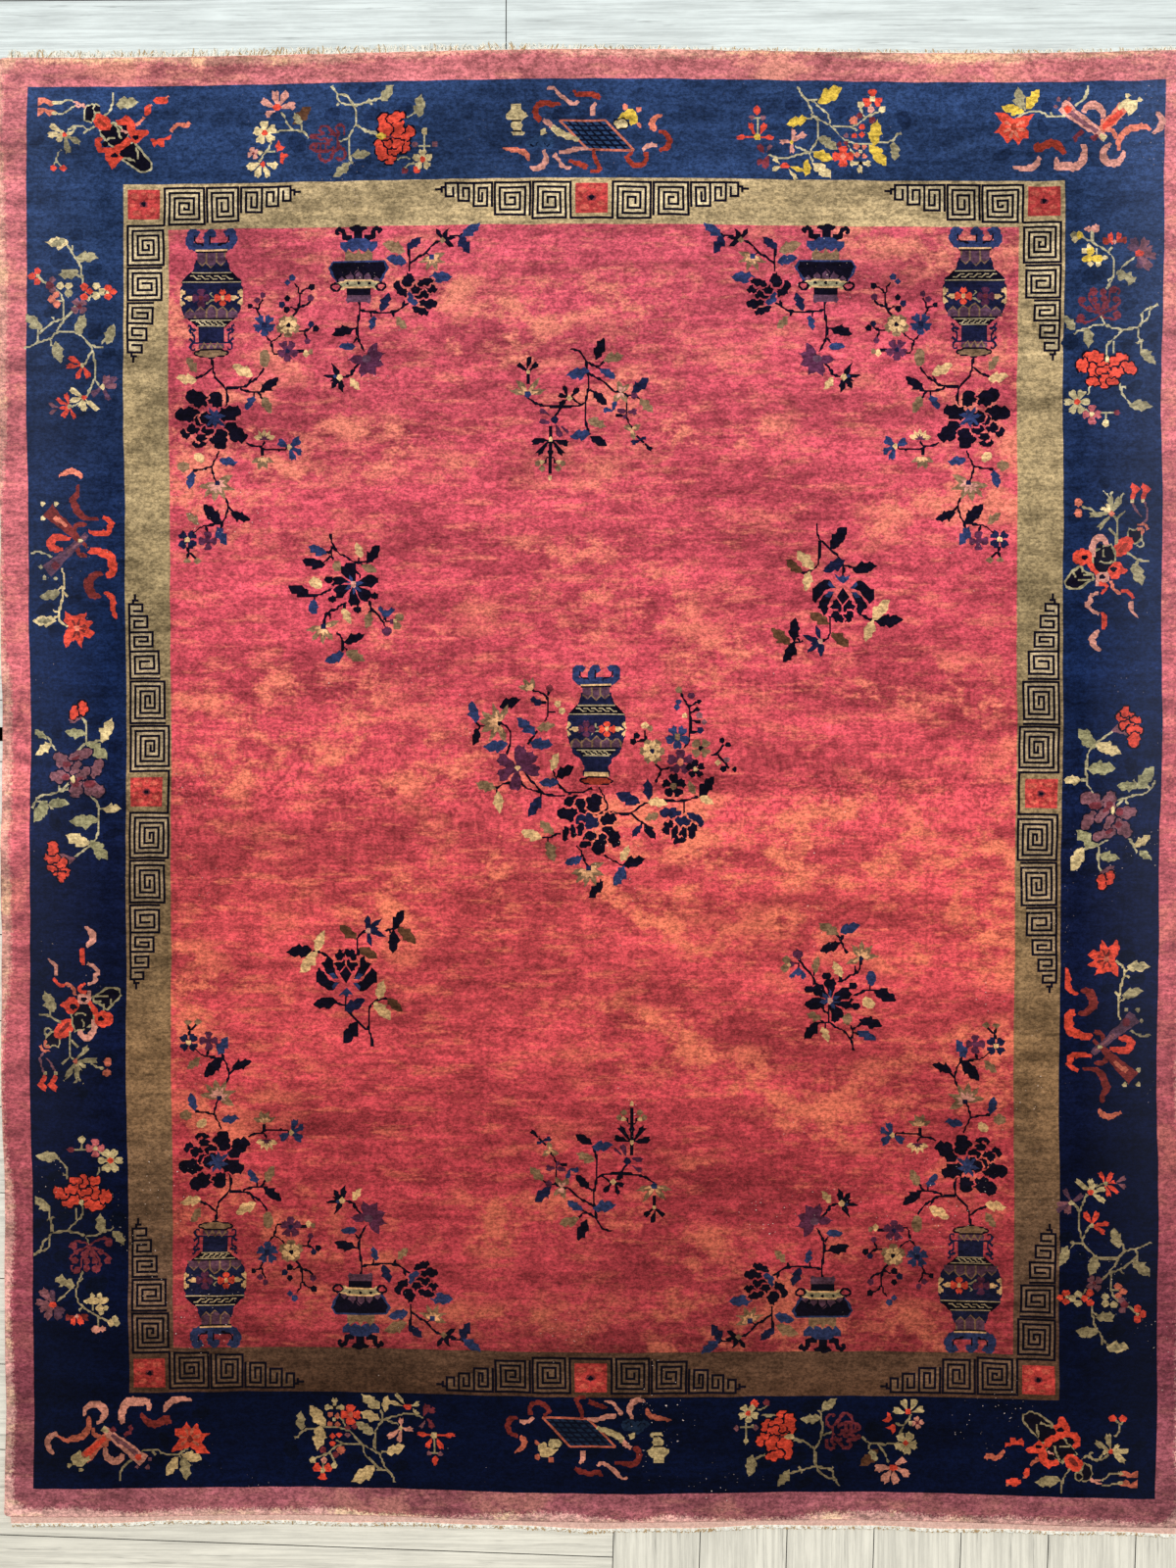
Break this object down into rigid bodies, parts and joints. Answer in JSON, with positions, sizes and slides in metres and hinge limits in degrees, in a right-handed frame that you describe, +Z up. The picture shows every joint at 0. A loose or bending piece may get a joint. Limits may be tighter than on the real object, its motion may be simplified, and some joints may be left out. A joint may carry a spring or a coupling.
{
  "type": "chinese art deco rug",
  "caption": "Hand-knotted wool rug lying flat: vases and flower sprays on a rose field, a gold fret band, a navy outer border and a short worn cotton fringe along each end.",
  "frame": {"origin": "middle of the rug's box, on the underside that lies on the floor", "axes": "+X across the rug, +Y along it toward the far end, +Z up out of the pile"},
  "size_m": [2.4478, 3.0638, 0.011],
  "materials": {
    "wool_pile": "matte cut wool pile, figured in many dyes",
    "cotton_fringe": "matte worn cotton warp ends"
  },
  "bodies": {
    "root": {"rug_body": "wool_pile", "fringe_far": "cotton_fringe", "fringe_near": "cotton_fringe"}
  },
  "joints": []
}
